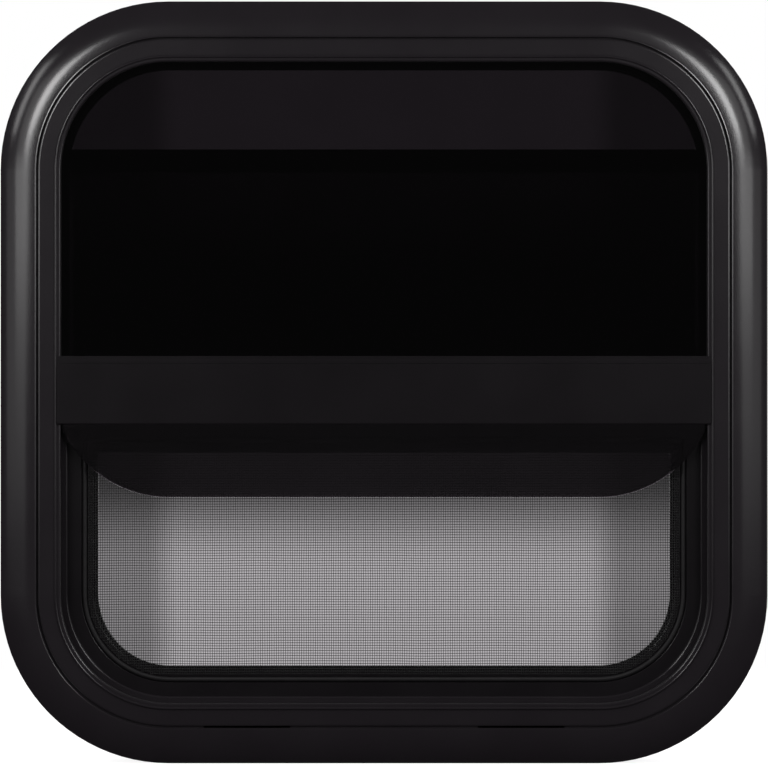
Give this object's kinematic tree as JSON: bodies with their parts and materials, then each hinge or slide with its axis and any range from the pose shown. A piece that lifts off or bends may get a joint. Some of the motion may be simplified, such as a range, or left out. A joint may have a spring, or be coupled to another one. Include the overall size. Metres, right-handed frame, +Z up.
{
  "type": "caravan window",
  "caption": "Square black caravan window with rounded corners: a fixed tinted pane above, a raised tinted sliding sash and an insect screen below.",
  "frame": {"origin": "middle of the window, in the plane of the outer flange's back face, which lies on the caravan wall", "axes": "+Z up, +X to the right as seen from outside, +Y into the caravan"},
  "size_m": [0.47, 0.0395, 0.467],
  "materials": {
    "frame_black": "satin black powder coat on aluminium",
    "screen_black": "satin black paint on rolled aluminium",
    "glass_smoked": "dark smoked tempered glass",
    "rubber_black": "matt black",
    "seal_butyl": "matt dark grey butyl",
    "pile_black": "short woven pile",
    "plastic_black": "moulded nylon",
    "plastic_white": "natural nylon",
    "mesh_black": "coated glass-fibre insect mesh",
    "steel_zinc": "zinc plated"
  },
  "bodies": {
    "root": {"outer_frame": "frame_black", "flange_seal": "seal_butyl", "frame_joiner": "steel_zinc", "meeting_rail": "frame_black", "rail_anchor_left": "plastic_black", "rail_anchor_right": "plastic_black", "rail_screws": "steel_zinc", "rail_pile": "pile_black", "fixed_pane": "glass_smoked", "fixed_pane_gasket": "rubber_black", "setting_blocks": "plastic_white", "sash_pane": "glass_smoked", "run_channel_left": "rubber_black", "run_channel_right": "rubber_black", "run_channel_bottom": "rubber_black", "run_channel_top": "rubber_black", "sash_stops": "rubber_black", "sash_top_rail": "frame_black", "sash_pull": "frame_black", "sash_latch_left": "plastic_black", "sash_latch_right": "plastic_black", "latch_strip_left": "steel_zinc", "latch_strip_right": "steel_zinc", "screen_frame": "screen_black", "screen_spline": "rubber_black", "screen_mesh": "mesh_black", "screen_tabs": "plastic_black", "screen_clips": "plastic_black", "clamp_ring": "frame_black", "clamp_screws": "steel_zinc"}
  },
  "joints": []
}
